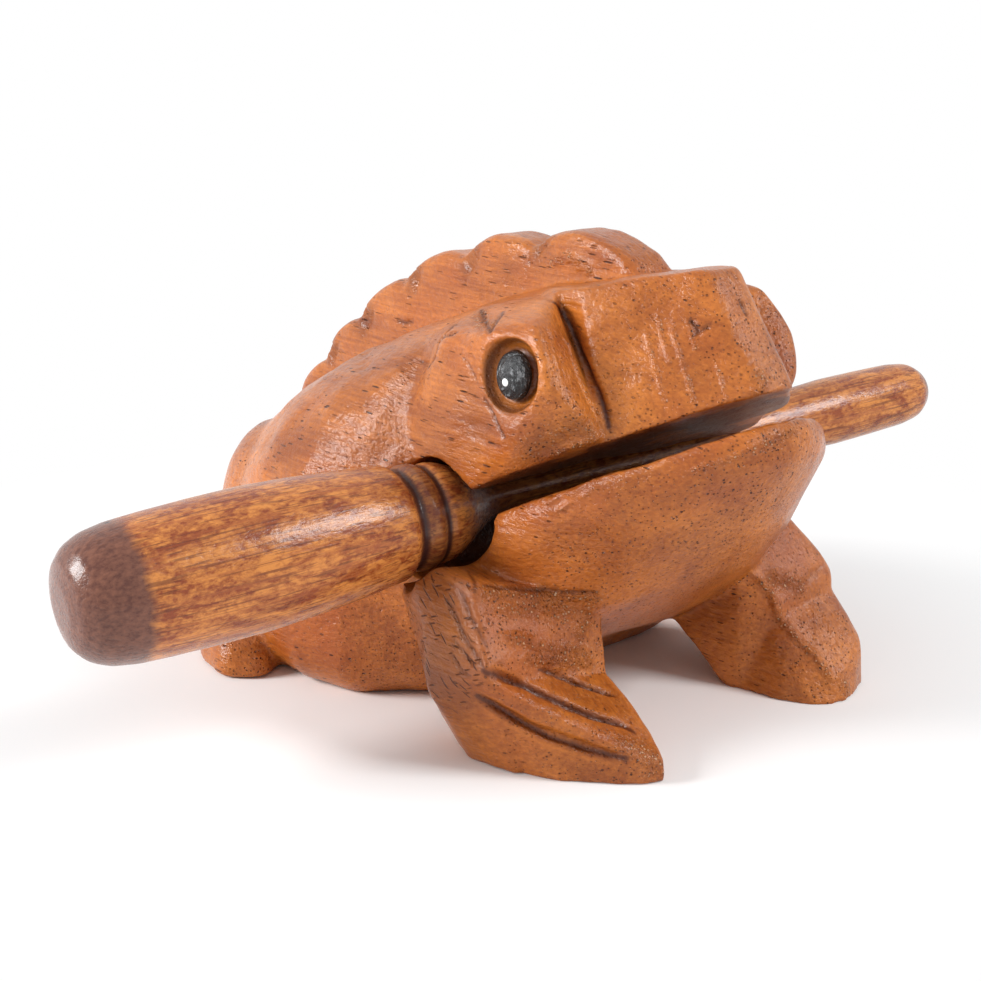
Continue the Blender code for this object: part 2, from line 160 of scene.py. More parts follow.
class Nodes:
    """A short way to build one material's nodes."""

    def __init__(self, name):
        self.material = bpy.data.materials.new(name)
        self.material.use_nodes = True
        self.tree = self.material.node_tree
        self.shader = self.tree.nodes["Principled BSDF"]
        self.coords = self.tree.nodes.new("ShaderNodeTexCoord")
        self.place = self.coords.outputs["Object"]

    def add(self, kind, inputs=(), **settings):
        node = self.tree.nodes.new(kind)
        for key, value in settings.items():
            setattr(node, key, value)
        for key, value in dict(inputs).items():
            self.put(node.inputs[key], value)
        return node

    def put(self, socket, value):
        if isinstance(value, bpy.types.NodeSocket):
            self.tree.links.new(value, socket)
        else:
            socket.default_value = value

    def stretched(self, scale, turn=(0.0, 0.0, 0.0)):
        """The object's own coordinates, in millimetres times the scale along each axis."""
        per_metre = [part / MM for part in scale]
        node = self.add("ShaderNodeMapping", {"Vector": self.place, "Scale": per_metre, "Rotation": turn})
        return node.outputs["Vector"]

    def slanted(self, scale, angle):
        """The same, with the stretch turned about the X axis by that angle."""
        turned = self.add("ShaderNodeMapping", {"Vector": self.place, "Rotation": (-angle, 0.0, 0.0)})
        per_metre = [part / MM for part in scale]
        node = self.add("ShaderNodeMapping", {"Vector": turned.outputs["Vector"], "Scale": per_metre})
        return node.outputs["Vector"]

    def noise(self, vector, detail=3.0, roughness=0.55, distortion=0.0):
        node = self.add("ShaderNodeTexNoise", {
            "Vector": vector, "Scale": 1.0, "Detail": detail, "Roughness": roughness,
            "Distortion": distortion,
        })
        return node.outputs["Fac"]

    def ramp(self, value, low, high, start=0.0, end=1.0):
        """Maps low..high to start..end, and holds it there outside."""
        node = self.add("ShaderNodeMapRange", {
            "Value": value, "From Min": low, "From Max": high, "To Min": start, "To Max": end,
        })
        return node.outputs["Result"]

    def math(self, operation, first, second=0.0):
        return self.add("ShaderNodeMath", {0: first, 1: second}, operation=operation).outputs[0]

    def times(self, first, second):
        return self.math("MULTIPLY", first, second)

    def mix(self, share, first, second):
        node = self.add("ShaderNodeMix", {"Factor": share, "A": first, "B": second}, data_type="RGBA")
        return node.outputs["Result"]

    def pores(self, vector, share, radius):
        """1 in scattered pores, 0 between them: stretched cells, of which only that share holds a pore."""
        cells = self.add("ShaderNodeTexVoronoi", {"Vector": vector, "Scale": 1.0, "Randomness": 1.0})
        pick = self.add("ShaderNodeSeparateColor", {"Color": cells.outputs["Color"]})
        chosen = self.math("LESS_THAN", pick.outputs[0], share)
        spot = self.ramp(cells.outputs["Distance"], radius * 0.6, radius, 1.0, 0.0)
        return self.times(chosen, spot)

    def bump(self, height, distance, strength=1.0, normal=None):
        node = self.add("ShaderNodeBump", {"Height": height, "Distance": distance, "Strength": strength})
        if normal is not None:
            self.put(node.inputs["Normal"], normal)
        return node.outputs["Normal"]

    def shine(self, values):
        """Sets plain values on the shader."""
        for key, value in values.items():
            self.shader.inputs[key].default_value = value

    def attribute(self, name):
        return self.add("ShaderNodeAttribute", attribute_name=name).outputs["Fac"]


# Colours of the frog's wood that no setting changes, and of the painted shade, glints and highlight laid over
# it.
BLOTCH = (0.42, 0.090, 0.016, 1.0)
DARK_GRAIN = (0.24, 0.055, 0.012, 1.0)
PORE = (0.050, 0.010, 0.004, 1.0)
TORN_FIBRE_SHADE = (0.20, 0.045, 0.012, 1.0)
PAINTED_GLINT = (0.92, 0.56, 0.33, 1.0)
SCORED_WOOD = (0.26, 0.095, 0.040, 1.0)
SCORE_LINE = (0.085, 0.020, 0.008, 1.0)
AMBER_AND_HIGHLIGHT = (0.74, 0.230, 0.030, 1.0)
STAIN_AND_SHADE = (0.075, 0.016, 0.006, 1.0)
FROG_LACQUER = {"Specular IOR Level": 0.08, "Coat Weight": 0.55, "Coat Roughness": 0.15}


def frog_wood(settings):
    """Thin satin lacquer on a coarse tropical wood whose grain runs from the snout to the tail."""
    n = Nodes("Lacquered frog wood")
    bands = n.noise(n.stretched((0.11, 0.018, 0.11)), 3.0, 0.5, 0.5)
    fibre = n.noise(n.stretched((1.9, 0.11, 1.9)), 4.0, 0.6)
    fine = n.noise(n.stretched((1.5, 1.1, 1.5)), 3.0, 0.6)
    blotch = n.noise(n.stretched((0.055, 0.055, 0.055), (0.3, 0.2, 0.5)), 3.0, 0.55)
    share = n.math("ADD", n.times(bands, 0.6), n.times(fibre, 0.4))
    colour = n.mix(n.ramp(share, 0.38, 0.62), tuple(settings.dark_wood), tuple(settings.light_wood))
    colour = n.mix(n.ramp(blotch, 0.45, 0.70, 0.0, 0.45), colour, BLOTCH)
    colour = n.mix(n.ramp(fine, 0.28, 0.60, 0.45, 0.0), colour, DARK_GRAIN)

    # Pores are dots where the wood faces along its grain, and dashes on its sides.
    facing = n.add("ShaderNodeSeparateXYZ", {"Vector": n.coords.outputs["Normal"]}).outputs["Y"]
    front = n.ramp(n.math("ABSOLUTE", facing), 0.35, 0.65)
    dots = n.pores(n.stretched((1.15, 0.8, 1.15), (0.2, 0.0, 0.3)), 0.42, 0.21)
    tiny = n.pores(n.stretched((2.1, 1.4, 2.1), (0.0, 0.1, 0.6)), 0.60, 0.27)
    dashes = n.pores(n.stretched((1.25, 0.17, 1.25), (0.03, 0.0, 0.04)), 0.40, 0.20)
    threads = n.pores(n.stretched((2.3, 0.20, 2.3), (0.02, 0.0, 0.05)), 0.40, 0.22)
    ends = n.math("MAXIMUM", dots, n.times(tiny, 0.8))
    sides = n.math("MAXIMUM", dashes, n.times(threads, 0.6))
    pores = n.add("ShaderNodeMix", {"Factor": front, "A": sides, "B": ends}).outputs["Result"]
    patchy = n.ramp(n.noise(n.stretched((0.09, 0.07, 0.09), (0.7, 0.1, 0.0)), 2.0), 0.38, 0.55, 0.5, 1.0)
    pores = n.times(pores, patchy)
    colour = n.mix(n.times(pores, 0.95), colour, PORE)

    # Torn wood has painted shade between its fibres and pale flecks of painted glint. Scored wood is duller
    # and crossed by scores.
    rough = n.attribute("rough")
    torn = n.ramp(n.noise(n.stretched((1.6, 0.30, 1.6), (0.05, 0.0, 0.1)), 3.0, 0.65), 0.42, 0.60)
    shade = n.times(n.times(rough, n.math("SUBTRACT", 1.0, torn)), 0.22)
    colour = n.mix(shade, colour, TORN_FIBRE_SHADE)
    flecks = n.times(rough, n.pores(n.stretched((1.5, 1.2, 1.5), (0.3, 0.1, 0.2)), 0.65, 0.30))
    colour = n.mix(n.times(flecks, 0.9), colour, PAINTED_GLINT)
    colour = n.mix(n.times(n.attribute("scored"), 0.35), colour, SCORED_WOOD)
    # Orange of the eye dishes, and a painted highlight on the lips of the widest grooves.
    colour = n.mix(n.attribute("amber"), colour, AMBER_AND_HIGHLIGHT)
    # Stain and painted shade from the marks, the eye dishes, the bore and the mouth.
    colour = n.mix(n.attribute("stain"), colour, STAIN_AND_SHADE)
    down = n.pores(n.slanted((0.6, 0.17, 1.9), 0.64), 0.8, 0.25)
    across = n.pores(n.slanted((0.6, 0.30, 1.7), -0.35), 0.5, 0.24)
    cuts = n.times(n.math("MAXIMUM", down, across), n.attribute("scored"))
    colour = n.mix(n.times(cuts, 0.85), colour, SCORE_LINE)
    n.put(n.shader.inputs["Base Color"], colour)

    sheen = n.ramp(fine, 0.3, 0.7, 0.30, 0.46)
    n.put(n.shader.inputs["Roughness"], n.math("ADD", sheen, n.times(pores, 0.35)))
    n.shine(FROG_LACQUER)

    tool = n.noise(n.stretched((0.35, 0.12, 0.35), (0.1, 0.2, 0.1)), 2.0, 0.5)
    bumped = n.bump(tool, 0.0008, 0.4)
    bumped = n.bump(fibre, 0.00030, 0.6, bumped)
    bumped = n.bump(fine, 0.00030, 0.6, bumped)
    grit = n.noise(n.stretched((1.7, 1.7, 1.7), (0.4, 0.3, 0.0)), 2.0, 0.6)
    bumped = n.bump(n.times(rough, n.math("ADD", torn, grit)), 0.00035, 0.8, bumped)
    bumped = n.bump(flecks, 0.00035, 0.9, bumped)
    bumped = n.bump(n.math("SUBTRACT", 1.0, n.math("MAXIMUM", pores, cuts)), 0.00035, 0.9, bumped)
    n.put(n.shader.inputs["Normal"], bumped)
    n.put(n.shader.inputs["Coat Normal"], bumped)
    return n.material


# Colours of the stick's wood that no setting changes, the painted shade on its neck, and how far its dipped
# cap and tip reach along it.
STICK_STREAK = (0.38, 0.105, 0.030, 1.0)
STICK_GRAIN = (0.10, 0.022, 0.010, 1.0)
CAP_DARK, CAP_LIGHT = (0.11, 0.038, 0.026, 1.0), (0.20, 0.078, 0.048, 1.0)
CAP_HOLE = (0.035, 0.010, 0.007, 1.0)
NECK_SHADE = (0.13, 0.032, 0.016, 1.0)
CAP_LENGTH, CAP_BLUR = 9.4, 0.8
TIP_LENGTH, TIP_BLUR = 2.4, 0.8
STICK_VARNISH = {"Specular IOR Level": 0.15, "Coat Weight": 0.45, "Coat Roughness": 0.18}


def stick_wood(settings, length):
    """Glossy mottled stain on turned wood. X runs along the stick from its butt."""
    n = Nodes("Mottled stick stain")
    along = n.add("ShaderNodeSeparateXYZ", {"Vector": n.stretched((1.0, 1.0, 1.0))}).outputs["X"]
    mottle = n.noise(n.stretched((0.17, 0.45, 0.45)), 5.0, 0.72, 0.5)
    speck = n.noise(n.stretched((0.9, 1.5, 1.5)), 3.0, 0.6)
    streak = n.noise(n.stretched((0.035, 1.5, 1.5)), 3.0, 0.6)
    line = n.noise(n.stretched((0.06, 3.2, 3.2)), 2.0, 0.5)
    patch = n.math("ADD", n.times(mottle, 0.65), n.times(speck, 0.35))
    share = n.ramp(patch, 0.42, 0.58)
    colour = n.mix(share, tuple(settings.stain), tuple(settings.amber))
    colour = n.mix(n.ramp(streak, 0.50, 0.68, 0.0, 0.75), colour, STICK_STREAK)
    colour = n.mix(n.ramp(line, 0.55, 0.65, 0.0, 0.6), colour, STICK_GRAIN)
    cap_edge = n.math("ADD", along, n.times(n.math("SUBTRACT", mottle, 0.5), 2.5))
    cap = n.ramp(cap_edge, CAP_LENGTH - CAP_BLUR, CAP_LENGTH + CAP_BLUR, 1.0, 0.0)
    cap_colour = n.mix(n.ramp(speck, 0.35, 0.65), CAP_DARK, CAP_LIGHT)
    colour = n.mix(cap, colour, cap_colour)
    tip_edge = length - TIP_LENGTH
    tip = n.ramp(along, tip_edge - TIP_BLUR, tip_edge + TIP_BLUR, 0.0, 0.85)
    colour = n.mix(tip, colour, cap_colour)
    holes = n.pores(n.stretched((0.42, 0.42, 0.42), (0.4, 0.1, 0.2)), 0.16, 0.16)
    holes = n.times(holes, cap)
    colour = n.mix(holes, colour, CAP_HOLE)
    # Painted shade on the neck where it lies in the bore, fading farther in.
    neck = n.times(n.ramp(along, 59.0, 62.0, 0.0, 0.55), n.ramp(along, 66.0, 82.0, 1.0, 0.1))
    colour = n.mix(neck, colour, NECK_SHADE)
    burnt = n.attribute("burn")
    colour = n.mix(burnt, colour, tuple(settings.burn))
    n.put(n.shader.inputs["Base Color"], colour)
    rough = n.ramp(speck, 0.3, 0.7, 0.22, 0.40)
    n.put(n.shader.inputs["Roughness"], n.math("ADD", rough, n.times(burnt, 0.15)))
    n.shine(STICK_VARNISH)
    first = n.bump(line, 0.00025, 0.3)
    second = n.bump(speck, 0.00025, 0.45, first)
    second = n.bump(n.math("SUBTRACT", 1.0, holes), 0.0006, 0.9, second)
    n.put(n.shader.inputs["Normal"], second)
    n.put(n.shader.inputs["Coat Normal"], n.bump(speck, 0.00018, 0.3))
    return n.material


def pupil_paint():
    """Brushed black enamel that dried in small ridges, with painted highlights in grey along its strokes."""
    n = Nodes("Black eye enamel")
    strokes = n.noise(n.stretched((2.2, 1.0, 0.55), (0.5, 0.2, 0.3)), 4.0, 0.7)
    dabs = n.noise(n.stretched((1.6, 1.6, 1.6)), 3.0, 0.6)
    # The grey along the brush strokes is painted highlight.
    colour = n.mix(n.ramp(strokes, 0.55, 0.66), (0.010, 0.011, 0.013, 1.0), (0.26, 0.27, 0.28, 1.0))
    n.put(n.shader.inputs["Base Color"], colour)
    n.shine({"Roughness": 0.20})
    n.put(n.shader.inputs["Normal"], n.bump(dabs, 0.0005, 0.7, n.bump(strokes, 0.0005, 0.8)))
    return n.material


def white_paint():
    n = Nodes("White eye dot")
    n.put(n.shader.inputs["Base Color"], (0.90, 0.90, 0.88, 1.0))
    n.shine({"Roughness": 0.35})
    soft = n.noise(n.stretched((1.5, 1.5, 1.5)))
    n.put(n.shader.inputs["Normal"], n.bump(soft, 0.0002, 0.3))
    return n.material


def plain_floor(colour):
    """A pale floor that keeps the frog's shadow and turns plain white farther off."""
    n = Nodes("Pale floor")
    n.put(n.shader.inputs["Base Color"], tuple(colour))
    n.shine({"Roughness": 0.9, "Specular IOR Level": 0.1})
    away = n.add("ShaderNodeVectorMath", {0: n.place}, operation="LENGTH").outputs["Value"]
    far = n.ramp(away, 0.055, 0.130)
    path = n.add("ShaderNodeLightPath")
    share = n.times(far, path.outputs["Is Camera Ray"])
    white = n.add("ShaderNodeEmission", {"Color": WHITE, "Strength": 1.0})
    mixer = n.add("ShaderNodeMixShader", {"Fac": share, 1: n.shader.outputs[0], 2: white.outputs[0]})
    output = next(node for node in n.tree.nodes if node.type == "OUTPUT_MATERIAL")
    n.tree.links.new(mixer.outputs[0], output.inputs["Surface"])
    return n.material


# Mesh helpers.


def add_piece(name, points, faces, material):
    """Makes one piece that rides on the part's only body."""
    mesh = bpy.data.meshes.new(name)
    mesh.from_pydata([tuple(point) for point in points], [], faces)
    mesh.validate()
    piece = bpy.data.objects.new(name, mesh)
    bpy.context.scene.collection.objects.link(piece)
    piece.data.materials.append(material)
    mesh.polygons.foreach_set("use_smooth", [True] * len(mesh.polygons))
    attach(piece, "root")
    return piece


def values_of(items, key, width, kind=float):
    """One row of values for each point or edge of a mesh."""
    found = np.empty(len(items) * width, kind)
    items.foreach_get(key, found)
    return found.reshape(-1, width)


def applied(piece, kind, **settings):
    """Puts one modifier on the piece and replaces its mesh with the result."""
    step = piece.modifiers.new("Step", kind)
    for key, value in settings.items():
        setattr(step, key, value)
    bpy.context.view_layer.update()
    made = bpy.data.meshes.new_from_object(piece.evaluated_get(bpy.context.evaluated_depsgraph_get()))
    piece.modifiers.clear()
    piece.data = made


def relaxed(points, edges, share, times):
    """Moves each point towards the middle of its neighbours, by its own share of the way."""
    count = len(points)
    first, second = edges[:, 0], edges[:, 1]
    valence = np.bincount(first, minlength=count) + np.bincount(second, minlength=count)
    for _ in range(times):
        middle = np.empty_like(points)
        for axis in range(3):
            column = points[:, axis]
            total = np.bincount(first, column[second], count) + np.bincount(second, column[first], count)
            middle[:, axis] = total / np.maximum(valence, 1)
        points = points + (middle - points) * share[:, None]
    return points


# Marks of knife, gouge and time: width and depth in millimetres, how dark they are with stain and painted
# shade, how torn the wood is there, which also sets painted shade between its fibres and painted glints, and
# their path over the wood. A negative depth stands proud.
MARKS = [
    # Slit between the right eye block and the snout, dark with painted shade, the chipped edge beside it, and
    # the edges of the block.
    (0.60, 0.55, 1.0, 0.0, [
        (-15.2, -9.3, 61.9), (-14.0, -9.6, 60.4), (-13.8, -11.2, 58.7), (-13.9, -12.6, 56.8),
        (-14.7, -15.3, 54.8), (-15.6, -17.8, 52.9), (-16.1, -19.7, 51.2), (-16.3, -21.2, 49.4),
        (-16.6, -22.6, 47.0)]),
    (0.45, -0.40, 0.0, 0.5, [
        (-17.5, -13.4, 58.5), (-17.2, -14.6, 56.6), (-17.7, -16.5, 54.5), (-17.6, -17.7, 52.7),
        (-17.5, -19.0, 50.7), (-16.8, -19.7, 48.9), (-16.8, -21.8, 47.9)]),
    (0.30, -0.16, 0.0, 0.0, [
        (-20.1, -13.3, 60.3), (-20.4, -15.0, 58.6), (-21.7, -17.2, 56.5), (-22.2, -18.7, 54.8),
        (-22.6, -20.0, 53.0)]),
    (0.9, -0.30, 0.0, 0.0, [
        (-22.1, -13.0, 60.5), (-22.8, -14.9, 59.4), (-23.7, -16.7, 57.2), (-24.1, -18.2, 55.2),
        (-24.4, -18.8, 53.4), (-24.5, -18.8, 51.7)]),
    # Cracks in the brow and round the eye.
    (0.40, 0.90, 1.0, 0.2, [
        (-24.3, 8.3, 51.0), (-24.8, 5.8, 53.0), (-24.0, 5.8, 54.6), (-23.2, 6.0, 55.7),
        (-22.5, 5.2, 56.7), (-19.5, 7.3, 57.2), (-18.5, 7.0, 58.0)]),
    (0.32, 0.60, 0.9, 0.0, [(-23.5, 5.6, 55.6), (-24.0, 2.7, 56.7), (-23.8, 1.8, 57.1)]),
    (0.25, 0.40, 0.7, 0.0, [(-22.0, 13.2, 50.8), (-23.8, 9.1, 51.3), (-23.7, 10.5, 49.8)]),
    (1.30, 0.35, 0.15, 0.8, [(-17.5, 4.5, 59.0), (-21.0, 0.5, 59.2), (-23.8, -5.0, 59.2)]),
    (0.40, 0.50, 0.8, 0.5, [
        (-16.8, 5.4, 58.9), (-21.8, -2.3, 59.0), (-24.8, -7.0, 58.8), (-22.4, -5.5, 59.5),
        (-18.2, -1.5, 60.0)]),
    (0.28, 0.50, 0.85, 0.0, [
        (-26.3, -7.5, 49.7), (-26.3, -9.4, 47.9), (-26.3, -10.7, 46.5), (-26.3, -12.9, 44.7)]),
    (0.22, 0.25, 0.5, 0.0, [
        (-25.8, -1.9, 54.4), (-26.0, -3.6, 53.9), (-26.2, -4.9, 52.7), (-26.2, -6.1, 51.3)]),
    (0.22, 0.22, 0.45, 0.0, [
        (-26.9, -3.6, 44.3), (-26.7, -7.2, 43.9), (-26.6, -10.0, 43.7), (-26.5, -12.0, 43.8)]),
    (0.22, 0.20, 0.4, 0.0, [(-26.8, -2.8, 45.6), (-26.7, -6.0, 45.6), (-26.5, -9.2, 45.8)]),
    # Darker facet under the eye, torn along the mouth.
    (2.40, 0.30, 0.22, 0.3, [
        (-24.8, -15.8, 43.5), (-23.4, -18.8, 45.6), (-21.7, -21.5, 47.3), (-18.4, -22.2, 47.2)]),
    (0.60, -0.35, 0.0, 1.0, [
        (-22.7, -17.1, 42.7), (-21.7, -18.8, 43.6), (-20.8, -20.5, 44.7), (-19.8, -22.0, 45.4),
        (-18.7, -22.8, 45.9)]),
    # Chisel streaks, a nick and a crack on the snout.
    (0.26, -0.17, 0.0, 0.5, [
        (-10.0, -22.3, 59.5), (-10.4, -23.7, 57.3), (-10.8, -25.1, 55.4), (-11.0, -26.3, 53.5),
        (-11.3, -27.4, 51.5), (-11.2, -28.3, 50.4)]),
    (0.26, -0.17, 0.0, 0.5, [
        (-8.5, -22.8, 61.8), (-8.9, -24.1, 59.7), (-9.4, -25.7, 57.3), (-9.6, -26.8, 55.3)]),
    (0.26, -0.17, 0.0, 0.5, [
        (-7.8, -25.0, 60.8), (-8.2, -26.2, 58.6), (-8.4, -27.6, 56.5), (-8.6, -29.2, 53.9),
        (-8.8, -30.4, 51.8), (-9.0, -31.6, 50.0)]),
    (0.24, -0.15, 0.0, 0.5, [(-6.4, -26.7, 61.4), (-6.7, -27.7, 59.3), (-6.9, -29.0, 57.2)]),
    (0.24, -0.13, 0.0, 0.5, [(-5.7, -31.6, 56.1), (-5.9, -32.9, 53.9), (-6.1, -34.3, 51.5)]),
    (0.34, 0.50, 0.75, 0.0, [(-6.3, -27.0, 61.2), (-6.0, -27.9, 60.3), (-6.0, -28.5, 59.7)]),
    (0.40, 0.50, 0.55, 0.0, [
        (-6.6, -28.0, 59.2), (-6.0, -28.5, 59.8), (-5.4, -29.0, 60.2), (-4.8, -29.3, 60.7)]),
    (0.24, 0.45, 0.95, 0.0, [(0.3, -29.7, 63.6), (0.2, -30.5, 62.5), (0.3, -31.1, 61.6)]),
    (0.8, -0.08, 0.0, 0.8, [
        (-2.0, -35.8, 55.3), (-1.9, -36.9, 53.8), (-2.9, -37.2, 52.9), (-4.1, -36.6, 52.2)]),
    # Lip and jaw.
    (0.50, -0.12, 0.0, 0.8, [
        (1.6, -40.6, 47.6), (-1.8, -40.8, 47.2), (-5.7, -39.9, 46.0), (-8.8, -38.3, 44.8),
        (-11.6, -36.3, 43.5), (-13.6, -34.3, 42.4)]),
    (0.40, -0.28, 0.0, 0.3, [
        (-23.3, -15.1, 36.3), (-23.1, -17.9, 36.6), (-22.2, -19.2, 37.8), (-21.6, -21.0, 38.5)]),
    (0.40, -0.28, 0.0, 0.3, [
        (-22.1, -20.3, 37.8), (-21.1, -22.0, 39.2), (-20.1, -23.3, 40.1), (-19.6, -23.7, 40.7)]),
    (0.35, -0.22, 0.0, 0.3, [(-23.6, -17.6, 35.5), (-23.0, -19.3, 35.5), (-22.1, -21.1, 37.0)]),
    (0.30, -0.22, 0.0, 0.3, [(-21.5, -22.5, 37.7), (-20.9, -23.4, 38.8), (-20.2, -24.3, 39.8)]),
    # Right leg: crease at its top, bands of torn end grain, scores on its outer side, and the toes.
    (0.45, 0.45, 0.6, 0.0, [
        (-30.9, -13.9, 25.4), (-25.9, -15.1, 24.1), (-21.5, -16.4, 23.2), (-17.1, -21.2, 23.3)]),
    (1.30, -0.10, 0.0, 1.0, [
        (-31.5, -14.7, 24.3), (-27.7, -15.2, 23.9), (-23.2, -16.2, 22.8), (-19.4, -18.2, 22.3),
        (-17.0, -20.5, 22.2)]),
    (1.50, 0.0, 0.0, 0.6, [
        (-30.2, -16.1, 22.4), (-25.7, -17.1, 21.4), (-21.1, -18.0, 20.3), (-17.1, -18.8, 20.0)]),
    (1.00, -0.12, 0.0, 1.0, [(-16.2, -18.8, 19.5), (-16.7, -18.6, 18.0), (-18.4, -19.0, 16.7)]),
    (0.90, -0.20, 0.0, 1.0, [
        (-31.7, -18.5, 19.0), (-28.5, -19.2, 18.2), (-25.9, -19.5, 16.8), (-23.1, -19.7, 15.4),
        (-19.7, -19.5, 14.8), (-16.5, -19.7, 13.2)]),
    (0.90, -0.20, 0.0, 1.0, [
        (-29.5, -20.0, 15.8), (-26.2, -19.9, 15.3), (-22.6, -19.9, 14.1), (-19.6, -19.9, 13.2),
        (-16.3, -19.9, 12.1)]),
    (0.38, 0.45, 0.6, 0.0, [
        (-34.7, -10.2, 22.9), (-35.1, -12.6, 21.0), (-35.6, -15.5, 18.8), (-35.8, -18.0, 17.3),
        (-36.0, -20.0, 15.9)]),
    (0.35, 0.35, 0.55, 0.0, [
        (-33.9, -12.4, 24.2), (-34.4, -14.8, 22.0), (-34.7, -17.5, 20.0), (-34.5, -18.8, 18.5)]),
    (0.30, 0.30, 0.5, 0.0, [(-29.2, -7.2, 24.1), (-32.9, -14.3, 24.8)]),
    (0.30, 0.30, 0.5, 0.0, [(-36.3, -13.2, 16.5), (-36.6, -15.8, 14.7), (-36.5, -17.6, 14.4)]),
    (0.30, 0.30, 0.5, 0.0, [(-35.9, -13.2, 18.2), (-36.0, -16.0, 17.0), (-36.2, -18.2, 15.8)]),
    (0.55, 0.60, 0.9, 0.0, [
        (-36.1, -19.7, 15.7), (-33.4, -20.2, 14.3), (-30.3, -20.7, 12.5), (-28.3, -22.6, 11.3),
        (-26.3, -24.4, 10.1), (-24.2, -26.1, 8.8), (-22.0, -27.8, 7.6), (-19.8, -29.5, 6.6),
        (-18.6, -31.1, 6.1)]),
    (0.62, 0.65, 0.9, 0.0, [
        (-35.5, -18.0, 11.4), (-33.9, -20.0, 10.1), (-32.6, -21.8, 8.9), (-30.9, -23.7, 7.5),
        (-29.3, -26.0, 6.4), (-27.4, -28.0, 5.6), (-25.5, -29.8, 4.8), (-23.6, -31.8, 4.2),
        (-22.4, -33.7, 4.0)]),
    (0.36, 0.60, 0.85, 0.0, [
        (-26.5, -20.3, 13.8), (-24.3, -20.3, 12.6), (-21.5, -20.9, 11.0), (-19.7, -22.2, 10.0),
        (-18.2, -23.5, 9.3), (-16.8, -24.8, 8.7)]),
    (1.60, 0.0, 0.0, 0.8, [
        (-21.5, -32.5, 5.8), (-19.5, -33.3, 5.1), (-19.0, -35.2, 4.0), (-18.1, -35.9, 1.7)]),
    # Left leg: chipped edge from the wrist to the toes, its step, and faint toe lines.
    (0.60, -0.50, 0.0, 1.0, [
        (16.9, -17.8, 18.2), (17.7, -18.8, 16.9), (18.8, -20.0, 15.4), (18.9, -20.9, 13.7),
        (19.3, -21.4, 11.7), (19.9, -23.2, 10.0), (20.8, -25.1, 8.1), (21.7, -26.9, 6.3),
        (22.1, -28.4, 4.6), (22.6, -30.0, 2.7)]),
    (1.40, 0.25, 0.05, 1.0, [(19.9, -18.9, 17.3), (23.0, -19.9, 15.9), (24.7, -20.4, 15.2)]),
    (0.60, 0.35, 0.2, 0.0, [(24.7, -20.4, 15.2), (27.8, -19.9, 16.0), (30.2, -19.3, 16.9)]),
    (0.35, -0.18, 0.0, 0.0, [(26.4, -21.9, 11.9), (24.7, -24.0, 10.0), (22.7, -26.4, 7.4)]),
    (0.35, -0.18, 0.0, 0.0, [(27.7, -22.8, 11.1), (26.8, -25.4, 8.7), (26.5, -27.9, 6.3)]),
    (1.20, -0.10, 0.0, 0.8, [(24.5, -30.5, 2.6), (25.0, -30.7, 1.4)]),
    # Fold between the brow and the back.
    (1.60, 0.55, 0.08, 0.0, [(-16.4, 35.9, 47.6), (-21.4, 28.9, 48.1), (-25.0, 22.9, 47.5)]),
    # Torn holes and a raised fold on the ridge.
    (0.30, 0.40, 0.8, 0.0, [(-4.3, 43.8, 50.0), (-4.3, 42.1, 49.7), (-4.3, 39.8, 50.3)]),
    (0.80, -0.35, 0.0, 0.8, [(-4.3, 5.5, 64.6), (-4.3, 0.5, 65.8), (-4.3, -3.3, 64.8), (-4.3, -4.4, 63.3)]),
]

# Where the gouge left a hollow beside each notch of the ridge, on its right side.
RIDGE_HOLLOWS = [
    [(-4.0, 5.2, 68.2), (-4.3, 7.4, 66.1), (-4.3, 10.6, 63.4)],
    [(-4.0, 21.6, 64.3), (-4.3, 23.8, 61.4), (-4.3, 26.4, 57.9)],
    [(-4.0, 37.5, 59.5), (-4.3, 38.3, 57.3), (-4.3, 39.2, 54.8)],
    [(-4.0, 50.6, 50.6), (-4.3, 52.7, 47.7), (-4.3, 54.3, 45.3)],
    [(-4.0, 61.6, 42.9), (-4.3, 63.2, 40.5), (-4.3, 64.2, 38.8)],
]

# What the gouge left along it on both sides: a narrow cut, and a soft hollow a little farther back and down,
# both darkened with painted shade.
RIDGE_CUT, RIDGE_DIP = (0.40, 0.28, 0.22, 0.0), (1.8, 0.50, 0.45, 0.0)
DIP_BACK, DIP_DOWN = 1.7, 0.4

# The marks' entry that the left side of the head has as well.
SLIT = 0

# Where the outer side of the right leg is scored all over: half the band's width, and its middle line.
SCORED = [
    (4.2, [(-35.0, -4.4, 23.4), (-35.8, -8.5, 19.7), (-36.5, -10.8, 16.1), (-37.1, -13.3, 12.9)]),
    (3.2, [(-34.6, -10.6, 22.9), (-35.5, -13.6, 19.6), (-36.1, -16.6, 16.3)]),
]


def left_of(path):
    return [(-x + LEFT_HEAD_SHIFT.x, y + LEFT_HEAD_SHIFT.y, z + LEFT_HEAD_SHIFT.z) for x, y, z in path]


def all_marks():
    """Every mark on the frog, with those of the left eye block and the ridge's hollows worked out."""
    marks = list(MARKS)
    width, depth, stain, torn, path = MARKS[SLIT]
    marks.append((width, depth, stain, torn, left_of(path)))
    for path in RIDGE_HOLLOWS:
        for side in (1, -1):
            there = [(x * side, y, z) for x, y, z in path]
            marks.append((*RIDGE_CUT, there))
            lower = [(x, y + DIP_BACK, z - DIP_DOWN) for x, y, z in there[:2]]
            marks.append((*RIDGE_DIP, lower))
    return marks


